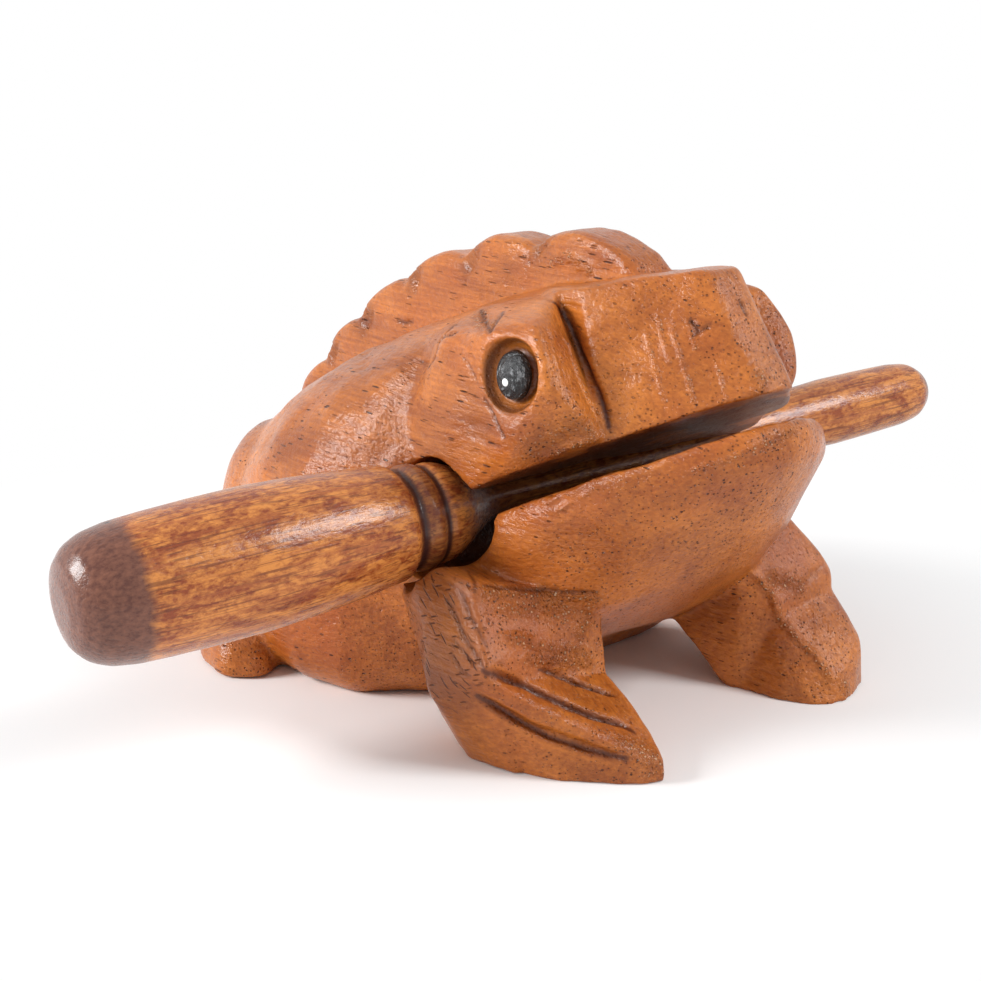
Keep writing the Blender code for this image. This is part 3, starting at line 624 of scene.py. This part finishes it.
def near_path(points, path, reach):
    """The points within that reach of a path: which ones, how far from it, and how far along from 0 to 1."""
    path = np.array(path, float)
    steps = np.maximum(np.linalg.norm(np.diff(path, axis=0), axis=1), 1e-6)
    low, high = path.min(axis=0) - reach, path.max(axis=0) + reach
    chosen = np.flatnonzero(((points > low) & (points < high)).all(axis=1))
    spots = points[chosen]
    away = np.full(len(chosen), np.inf)
    along = np.zeros(len(chosen))
    before = 0.0
    for start, end, step in zip(path, path[1:], steps):
        share = np.clip((spots - start) @ (end - start) / step ** 2, 0.0, 1.0)
        gap = np.linalg.norm(spots - start - share[:, None] * (end - start), axis=1)
        closer = gap < away
        away[closer] = gap[closer]
        along[closer] = (before + share[closer] * step) / steps.sum()
        before += step
    return chosen, away, along


def surface_finder(points, normals):
    """A function that lays a path on the wood.

    It adds corners in between, moves each straight down to the wood and says which way the wood faces there.
    """
    tree = KDTree(len(points))
    for index, point in enumerate(points.tolist()):
        tree.insert(point, index)
    tree.balance()

    def laid(path):
        path = np.array(path, float)
        corners = [path[0]]
        for start, end in zip(path, path[1:]):
            count = max(1, round(float(np.linalg.norm(end - start)) / 0.8))
            corners.extend(start + (end - start) * step / count for step in range(1, count + 1))
        facing = []
        for index, corner in enumerate(corners):
            spot, near, _ = tree.find(corner)
            facing.append(normals[near])
            corners[index] = corner + facing[-1] * float((np.array(spot) - corner) @ facing[-1])
        return np.array(corners), np.array(facing)

    return laid


def eye_rings(points):
    """For each eye, the points near it, how far they are from its axis and its plane, and its facing."""
    for _, centre, facing in eye_places():
        offset = points - np.array(centre)
        out = offset @ np.array(facing)
        away = np.linalg.norm(offset - out[:, None] * np.array(facing), axis=1)
        chosen = np.flatnonzero((away < 8.5) & (np.abs(out) < 4.0))
        yield chosen, away[chosen], out[chosen], np.array(facing)


def dish(away):
    """How deep the eye's dish is, from the middle of the pupil to its rim."""
    slope = np.clip((away - DOME_RADIUS) / 1.95, 0.0, 1.0)
    dome = DOME_RISE * np.clip(1.0 - (away / DOME_RADIUS) ** 2, 0.0, 1.0)
    return DISH_DEPTH * (1.0 - slope ** 2.4) - dome


def hollow_eyes(points):
    """Rounds each eye's recess into a dish with a low dome in its middle."""
    points = points.copy()
    for chosen, away, out, facing in eye_rings(points):
        # The plane of the wood round the recess, which the dish starts from.
        rim = (away > DISH_RADIUS + 0.3) & (away < DISH_RADIUS + 1.7) & (np.abs(out) < 1.5)
        spots = points[chosen]
        flat = np.linalg.lstsq(np.c_[spots[rim][:, 1:], np.ones(rim.sum())], out[rim], rcond=None)[0]
        plane = np.c_[spots[:, 1:], np.ones(len(spots))] @ flat
        share = np.clip((DISH_RADIUS - away) / 0.35, 0.0, 1.0)
        points[chosen] += ((plane - dish(away) - out) * share)[:, None] * facing
    return points


def wander(points, seed, length, height, count=9):
    """A slow uneven wave over the wood, as a hand-held knife leaves it."""
    dice = np.random.default_rng(seed)
    total = np.zeros(len(points))
    for _ in range(count):
        way = dice.normal(size=3)
        way *= dice.uniform(0.7, 1.5) * 2 * math.pi / length / np.linalg.norm(way)
        total += np.sin(points @ way + dice.uniform(0, 6.3))
    return total * height / math.sqrt(count / 2)


# Marks below this width are cuts. How far down a cut its stain and painted shade are laid, as shares of its
# depth.
CUT_WIDTH = 1.0
CUT_LEVELS = (0.0, 0.3, 0.6, 0.9)


def wood_layers(points, lines):
    """How dark, torn, orange and scored the wood is at each point; the dark is stain and painted shade, and
    the orange on groove lips is a painted highlight. A cut is dark down to its bottom.
    """
    stain = np.zeros(len(points))
    rough = np.zeros(len(points))
    amber = np.zeros(len(points))
    scored = np.zeros(len(points))
    for (width, depth, dark, torn, _), (line, facing) in zip(all_marks(), lines):
        chosen, away, along = near_path(points, line, 3 * width)
        ends = np.clip(np.minimum(along, 1 - along) / 0.08, 0.25, 1.0) if width < CUT_WIDTH else 1.0
        spread = np.exp(-(away / width) ** 2) * ends
        stain[chosen] = np.maximum(stain[chosen], dark * spread)
        rough[chosen] = np.maximum(rough[chosen], torn * spread)
        for share in CUT_LEVELS if width < CUT_WIDTH and depth > 0.0 else ():
            cut, beside, _ = near_path(points, line - facing * depth * share, 1.5 * width)
            crisp = np.exp(-(beside / (0.75 * width)) ** 4)
            stain[cut] = np.maximum(stain[cut], dark * crisp)
        if dark > 0.85 and width > 0.5:
            # The lips of the widest grooves get a painted highlight, a little more orange.
            lip = np.exp(-((away - 2.0 * width) / (0.5 * width)) ** 2) * ends
            amber[chosen] = np.maximum(amber[chosen], 0.22 * lip)
    for width, path in SCORED:
        chosen, away, _ = near_path(points, path, 2 * width)
        scored[chosen] = np.maximum(scored[chosen], np.clip(1.7 - away / width, 0.0, 1.0))
    for chosen, away, _, _ in eye_rings(points):
        # The dish is orange, and darkened with painted shade, most along its wall and round the pupil.
        ring = np.clip((DISH_RADIUS - 0.15 - away) / 0.4, 0.0, 1.0)
        wall = np.clip((away - 4.2) / 0.5, 0.0, 1.0) + np.clip((3.9 - away) / 0.3, 0.0, 1.0)
        stain[chosen] = np.maximum(stain[chosen], ring * (0.42 + 0.40 * np.minimum(wall, 1.0)))
        amber[chosen] = np.maximum(amber[chosen], 0.7 * ring)
    # Bore and mouth are darkened inside with painted shade, less so towards their ends.
    x, y, z = points.T
    inside = np.hypot(y - BORE_Y, z - BORE_Z) < BORE_RADIUS + 0.5
    stain = np.maximum(stain, 0.9 * inside * np.clip((25.5 - np.abs(x)) / 4.0, 0.0, 1.0))
    slot = np.abs(z - MOUTH_Z + MOUTH_RISE * y) < MOUTH_HALF + 0.1
    stain = np.maximum(stain, 0.75 * slot * (y < 0) * np.clip((y + 38.5) / 6.0, 0.0, 1.0))
    return stain, rough, amber, scored


# How far the wood is drawn in round the right end of the bore: above the stick and in front of it, how far
# out from the bore that is felt, where along X it starts and is full, and the room it leaves for the stick.
BORE_PULL_ABOVE, BORE_PULL_FRONT, BORE_PULL_REACH = 2.9, 3.2, 7.0
BORE_PULL_START, BORE_PULL_FULL = 12.0, 20.0
STICK_CLEARANCE = 0.7


def narrowed_bore(points):
    """Draws the wood in round the right end of the bore, close to the stick's shoulder."""
    points = points.copy()
    x = points[:, 0]
    y, z = points[:, 1] - BORE_Y, points[:, 2] - BORE_Z
    reach = np.maximum(np.hypot(y, z), 0.1)
    upper, front = z / reach, -y / reach
    pull = BORE_PULL_ABOVE * np.clip(upper * 1.2, 0.0, 1.0)
    pull += BORE_PULL_FRONT * np.clip(front * 1.3 - 0.1, 0.0, 1.0) * np.clip(0.2 - upper, 0.0, 1.0)
    pull *= np.clip(1.0 - (reach - BORE_RADIUS) / BORE_PULL_REACH, 0.0, 1.0) ** 1.5
    pull *= reach > BORE_RADIUS - 1.5
    pull *= np.clip((-x - BORE_PULL_START) / (BORE_PULL_FULL - BORE_PULL_START), 0.0, 1.0)
    past_neck = x - STICK_NECK.x
    axis = np.array(STICK_NECK) + past_neck[:, None] / STICK_DIRECTION.x * np.array(STICK_DIRECTION)
    knots = np.array(STICK_PROFILE)
    room = np.interp(HANDLE_LENGTH + past_neck - 1.0, knots[:, 0], knots[:, 1]) + STICK_CLEARANCE
    gap = np.hypot(points[:, 1] - axis[:, 1], points[:, 2] - axis[:, 2])
    pull = np.clip(np.minimum(pull, gap - room), 0.0, None)
    points[:, 1] -= pull * y / reach
    points[:, 2] -= pull * z / reach
    return points


def placed(mesh, points):
    """Moves the mesh's points to these places, in millimetres from the throat, and gives its new normals."""
    metres = points * MM
    metres[:, 1] -= THROAT_TO_ORIGIN * MM
    mesh.vertices.foreach_set("co", metres.ravel())
    mesh.update()
    return values_of(mesh.vertices, "normal", 3)


def from_throat(mesh):
    points = values_of(mesh.vertices, "co", 3) / MM
    points[:, 1] += THROAT_TO_ORIGIN
    return points


def carve(mesh, settings):
    """Rounds the rebuilt surface and cuts every mark into it.

    It says which points the fine marks need, and where each mark lies on the wood.
    """
    edges = values_of(mesh.edges, "vertices", 2, np.int32)
    points = from_throat(mesh)
    points = narrowed_bore(points)
    x, y, z = points.T
    # The back and the haunches are sanded rounder than the head, and so is the underside of the jaw.
    soft = np.clip((y - 6.0) / 8.0, 0.0, 1.0) * (np.abs(x) > 6.5)
    jaw = (z < MOUTH_Z - MOUTH_RISE * y - 4.0) & (y < 6.0) & (z > 24.0)
    points = relaxed(points, edges, np.full(len(points), 0.5), settings.softening)
    points = relaxed(points, edges, 0.5 * np.maximum(soft, jaw), 40)
    points = hollow_eyes(points)
    points = relaxed(points, edges, np.full(len(points), 0.5), 1)
    normals = relaxed(placed(mesh, points), edges, np.full(len(points), 0.5), 4)
    normals /= np.linalg.norm(normals, axis=1)[:, None]
    laid = surface_finder(points, normals)
    # Facets of the knife, which spare the dishes.
    push = wander(points, 3, 13.0, 0.09) + wander(points, 5, 5.0, 0.035)
    for chosen, away, _, _ in eye_rings(points):
        push[chosen] *= np.clip((away - DISH_RADIUS) / 1.5, 0.0, 1.0)
    fine = np.zeros(len(points), bool)
    lines = [laid(path) for *_, path in all_marks()]
    for (width, depth, _, torn, _), (line, _) in zip(all_marks(), lines):
        chosen, away, along = near_path(points, line, 3 * width)
        if width < CUT_WIDTH:
            fine[chosen[away < 1.6 * width + 0.3]] = True
        ends = np.clip(np.minimum(along, 1 - along) / 0.12, 0.15, 1.0)
        uneven = 0.8 + 0.2 * np.sin(along * 29.0 + width * 50.0)
        spread = np.exp(-(away / width) ** 2)
        push[chosen] -= depth * ends * uneven * spread
        if torn:
            push[chosen] += torn * wander(points[chosen], 21, 1.4, 0.06) * spread
    points = points + normals * push[:, None]
    # Nothing sinks below the floor.
    sole = points[:, 2] < 0.02
    points[sole, 2] = np.maximum(points[sole, 2], 0.0)
    placed(mesh, points)
    for chosen, away, _, _ in eye_rings(points):
        fine[chosen[away < DISH_RADIUS + 0.4]] = True
    return fine, lines


# About how many triangles the carved frog keeps, closest together where the fine marks are.
FROG_TRIANGLES = 190000


def carve_frog(settings):
    """The carved body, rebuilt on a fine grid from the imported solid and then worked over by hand."""
    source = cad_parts["frog_body"]
    piece = bpy.data.objects.new("carved_frog", source.data.copy())
    bpy.context.scene.collection.objects.link(piece)
    applied(piece, "WELD", merge_threshold=0.00001)
    applied(piece, "REMESH", mode="VOXEL", voxel_size=settings.grain)
    mesh = piece.data
    fine, lines = carve(mesh, settings)
    loose = piece.vertex_groups.new(name="loose")
    loose.add(np.flatnonzero(~fine).tolist(), 1.0, "REPLACE")
    ratio = min(1.0, FROG_TRIANGLES / (len(mesh.polygons) * 2))
    applied(piece, "DECIMATE", ratio=ratio, vertex_group="loose")
    piece.vertex_groups.clear()
    mesh = piece.data
    mesh.polygons.foreach_set("use_smooth", [True] * len(mesh.polygons))
    layers = wood_layers(from_throat(mesh), lines)
    # The stain layer holds stain and painted shade; rough also sets painted glints and shade between torn
    # fibres; amber holds the dishes' orange and a painted highlight on groove lips.
    for key, values in zip(("stain", "rough", "amber", "scored"), layers):
        mesh.attributes.new(key, "FLOAT", "POINT").data.foreach_set("value", values)
    mesh.materials.clear()
    mesh.materials.append(frog_wood(settings))
    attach(piece, "root")
    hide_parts("frog_body")


# The stick's profile, as places along it and radii, and its burnt rings, as places and half widths.
STICK_PROFILE = [
    (0.0, 0.0), (0.1, 3.4), (0.9, 6.2), (2.6, 8.0), (5.0, 9.1), (8.5, 9.7),
    (13.3, 9.95), (20.4, 10.15), (27.5, 10.2), (35.7, 9.8), (43.9, 9.1), (49.8, 8.4),
    (50.4, 7.4), (51.7, 7.3), (52.3, 7.9), (54.3, 7.8), (54.8, 7.1), (55.4, 7.1),
    (55.9, 7.5), (57.8, 7.2), (60.0, 6.2), (62.0, 4.9), (64.0, 3.7), (66.0, 2.9),
    (69.0, 2.4), (78.6, 2.6), (92.8, 3.4), (107.1, 4.3), (121.4, 5.0), (130.6, 5.4),
    (137.7, 5.3), (144.9, 5.1), (148.2, 4.6), (150.2, 3.3), (151.2, 1.7), (151.4, 0.0),
]
STICK_RINGS = [(51.1, 0.85), (55.1, 0.55)]
STICK_SIDES = 96


def turn_stick(settings):
    """The striker stick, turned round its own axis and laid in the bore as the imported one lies."""
    knots = np.array(STICK_PROFILE)
    arc = np.concatenate([[0.0], np.cumsum(np.hypot(*np.diff(knots, axis=0).T))])
    steps = np.linspace(0.0, arc[-1], 420)
    along = np.interp(steps, arc, knots[:, 0])
    radius = np.interp(steps, arc, knots[:, 1])
    for _ in range(3):
        radius[1:-1] = (radius[:-2] + 2 * radius[1:-1] + radius[2:]) / 4
        along[1:-1] = (along[:-2] + 2 * along[1:-1] + along[2:]) / 4
    turns = np.linspace(0.0, 2 * math.pi, STICK_SIDES, endpoint=False)
    points = [(along[0], 0.0, 0.0)]
    for place, reach in zip(along[1:-1], radius[1:-1]):
        for turn in turns:
            points.append((place, reach * math.cos(turn), reach * math.sin(turn)))
    points.append((along[-1], 0.0, 0.0))
    faces = []
    rows = len(along) - 2
    last = len(points) - 1
    for i in range(STICK_SIDES):
        j = (i + 1) % STICK_SIDES
        faces.append((0, 1 + j, 1 + i))
        for row in range(rows - 1):
            a, b = 1 + row * STICK_SIDES, 1 + (row + 1) * STICK_SIDES
            faces.append((a + i, a + j, b + j, b + i))
        faces.append((last, 1 + (rows - 1) * STICK_SIDES + i, 1 + (rows - 1) * STICK_SIDES + j))
    material = stick_wood(settings, HANDLE_LENGTH + SHAFT_LENGTH)
    piece = add_piece("turned_stick", [Vector(p) * MM for p in points], faces, material)
    places = values_of(piece.data.vertices, "co", 3)[:, 0] / MM
    burn = np.zeros(len(places))
    for ring, width in STICK_RINGS:
        burn = np.maximum(burn, np.exp(-((places - ring) / width) ** 4))
    burn = np.maximum(burn, 0.42 * ((places > 51) & (places < 55)))
    layer = piece.data.attributes.new("burn", "FLOAT", "POINT")
    layer.data.foreach_set("value", burn)
    side = Vector((0.0, 0.0, 1.0)).cross(STICK_DIRECTION).normalized()
    up = STICK_DIRECTION.cross(side)
    turned = Matrix((STICK_DIRECTION, side, up)).transposed().to_4x4()
    butt = STICK_NECK - STICK_DIRECTION * HANDLE_LENGTH
    piece.matrix_world = Matrix.Translation(to_part(butt)) @ turned
    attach(piece, "root")
    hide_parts("striker_stick")


def eye_places():
    for name, side, shift in (("right", 1, Vector((0, 0, 0))), ("left", -1, LEFT_HEAD_SHIFT)):
        centre = Vector((EYE_CENTRE.x * side, EYE_CENTRE.y, EYE_CENTRE.z)) + shift
        facing = Vector((EYE_FACING.x * side, EYE_FACING.y, EYE_FACING.z))
        yield name, centre, facing


def domed_disc(name, centre, facing, size, rise, material):
    """A domed spot of paint that faces one way, of that size as half its width and half its height."""
    facing = facing.normalized()
    across = Vector((0.0, 0.0, 1.0)).cross(facing).normalized()
    up = facing.cross(across)
    width, height = size
    rings, sides = 14, 48
    points = [centre + facing * rise]
    for ring in range(1, rings + 1):
        share = ring / rings
        lift = rise * (1 - share ** 2.2) ** 0.6 if share < 1 else -0.25
        for i in range(sides):
            turn = 2 * math.pi * i / sides
            spot = centre + facing * lift + across * (width * share * math.cos(turn))
            points.append(spot + up * (height * share * math.sin(turn)))
    faces = []
    for i in range(sides):
        j = (i + 1) % sides
        faces.append((0, 1 + i, 1 + j))
        for ring in range(rings - 1):
            a, b = 1 + ring * sides, 1 + (ring + 1) * sides
            faces.append((a + i, b + i, b + j, a + j))
    faces.append([1 + (rings - 1) * sides + i for i in range(sides)][::-1])
    return add_piece(name, [to_part(point) for point in points], faces, material)


def paint_eyes():
    """Black enamel on the domed pupils, and a white dot on each."""
    black, white = pupil_paint(), white_paint()
    for name, centre, facing in eye_places():
        floor = centre - facing * 1.35
        domed_disc(name + "_pupil_paint", floor, facing, PUPIL_SIZE, 1.75, black)
        dot = floor + facing * 1.72 + Vector((0.0, 0.05, -0.80))
        domed_disc(name + "_eye_dot", dot, facing, DOT_SIZE, 0.16, white)


# The stage, in metres in the part's frame: half the floor, the even light's colour, what the lamps point at,
# and each lamp's side and place.
FLOOR_REACH = 6.0
FILL_COLOUR = (0.97, 0.98, 1.0, 1.0)
LAMP_TARGET = (0.0, -0.02, 0.035)
FRONT_LAMP = 0.32, (0.40, -0.62, 0.62)
SIDE_LAMP = 0.34, (-0.74, 0.38, 0.44)
CAMERA_PLACE = (-0.19047, -0.24915, 0.11327)
CAMERA_TURN = (math.radians(74), 0.0, math.radians(-38))


def add_light(name, energy, size, place):
    lamp = bpy.data.lights.new(name, "AREA")
    lamp.shape = "SQUARE"
    lamp.size = size
    lamp.energy = energy
    light = bpy.data.objects.new(name, lamp)
    bpy.context.scene.collection.objects.link(light)
    light.location = place
    light.rotation_euler = (Vector(LAMP_TARGET) - Vector(place)).to_track_quat("-Z", "Y").to_euler()


def build_stage(settings):
    """A pale floor, a white world, soft lamps and the camera."""
    floor = bpy.data.meshes.new("studio_floor")
    reach = FLOOR_REACH
    corners = [(-reach, -reach, 0), (reach, -reach, 0), (reach, reach, 0), (-reach, reach, 0)]
    floor.from_pydata(corners, [], [(0, 1, 2, 3)])
    ground = bpy.data.objects.new("studio_floor", floor)
    bpy.context.scene.collection.objects.link(ground)
    floor.materials.append(plain_floor(settings.floor_colour))

    world = bpy.data.worlds.new("Studio")
    bpy.context.scene.world = world
    world.use_nodes = True
    tree = world.node_tree
    tree.nodes.clear()
    output = tree.nodes.new("ShaderNodeOutputWorld")
    mixer = tree.nodes.new("ShaderNodeMixShader")
    for slot, colour, strength in ((1, FILL_COLOUR, settings.fill), (2, WHITE, 1.0)):
        glow = tree.nodes.new("ShaderNodeBackground")
        glow.inputs["Color"].default_value = colour
        glow.inputs["Strength"].default_value = strength
        tree.links.new(glow.outputs[0], mixer.inputs[slot])
    path = tree.nodes.new("ShaderNodeLightPath")
    seen_by = path.outputs["Is Camera Ray"]
    for ray in ("Is Glossy Ray", "Is Transmission Ray"):
        either = tree.nodes.new("ShaderNodeMath")
        either.operation = "MAXIMUM"
        tree.links.new(seen_by, either.inputs[0])
        tree.links.new(path.outputs[ray], either.inputs[1])
        seen_by = either.outputs[0]
    tree.links.new(seen_by, mixer.inputs["Fac"])
    tree.links.new(mixer.outputs[0], output.inputs["Surface"])

    add_light("Front softbox", settings.front, *FRONT_LAMP)
    add_light("Side softbox", settings.side, *SIDE_LAMP)

    camera = bpy.data.cameras.new("Photo camera")
    camera.sensor_width = 36.0
    camera.lens = settings.lens
    camera.clip_start = 0.01
    holder = bpy.data.objects.new("Photo camera", camera)
    bpy.context.scene.collection.objects.link(holder)
    holder.location = CAMERA_PLACE
    holder.rotation_euler = CAMERA_TURN
    bpy.context.scene.camera = holder
    bpy.context.scene.view_settings.view_transform = "Standard"


# Operators and panel.


class GUIRO_OT_carve_frog(bpy.types.Operator):
    """Carve the frog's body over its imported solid"""

    bl_idname = "guiro.carve_frog"
    bl_label = "Carve the frog"

    def execute(self, context):
        carve_frog(context.scene.guiro_carving)
        return {"FINISHED"}


class GUIRO_OT_paint_eyes(bpy.types.Operator):
    """Paint the pupils and their white dots"""

    bl_idname = "guiro.paint_eyes"
    bl_label = "Paint the eyes"

    def execute(self, context):
        paint_eyes()
        return {"FINISHED"}


class GUIRO_OT_turn_stick(bpy.types.Operator):
    """Turn the striker stick and lay it in the bore"""

    bl_idname = "guiro.turn_stick"
    bl_label = "Turn the stick"

    def execute(self, context):
        turn_stick(context.scene.guiro_stick)
        return {"FINISHED"}


class GUIRO_OT_build_stage(bpy.types.Operator):
    """Set up the floor, the light and the camera"""

    bl_idname = "guiro.build_stage"
    bl_label = "Build the stage"

    def execute(self, context):
        build_stage(context.scene.guiro_studio)
        return {"FINISHED"}


class GUIRO_PT_panel(bpy.types.Panel):
    """Shows the frog guiro's settings and the buttons that build it"""

    bl_label = "Frog guiro"
    bl_idname = "GUIRO_PT_panel"
    bl_space_type = "VIEW_3D"
    bl_region_type = "UI"
    bl_category = "Frog guiro"

    def draw(self, context):
        layout = self.layout
        for settings in (context.scene.guiro_carving, context.scene.guiro_stick, context.scene.guiro_studio):
            box = layout.box()
            for key in settings.__annotations__:
                box.prop(settings, key)
        for operator in OPERATORS:
            layout.operator(operator.bl_idname)


SETTINGS = {"guiro_carving": CarvingSettings, "guiro_stick": StickSettings, "guiro_studio": StudioSettings}
OPERATORS = (GUIRO_OT_carve_frog, GUIRO_OT_paint_eyes, GUIRO_OT_turn_stick, GUIRO_OT_build_stage)


def register():
    for kind in (*SETTINGS.values(), *OPERATORS, GUIRO_PT_panel):
        bpy.utils.register_class(kind)
    for key, kind in SETTINGS.items():
        setattr(bpy.types.Scene, key, bpy.props.PointerProperty(type=kind))


def unregister():
    for key in SETTINGS:
        delattr(bpy.types.Scene, key)
    for kind in reversed((*SETTINGS.values(), *OPERATORS, GUIRO_PT_panel)):
        bpy.utils.unregister_class(kind)


def main():
    register()
    bpy.ops.guiro.build_stage()
    bpy.ops.guiro.carve_frog()
    bpy.ops.guiro.paint_eyes()
    bpy.ops.guiro.turn_stick()


if __name__ == "__main__":
    main()
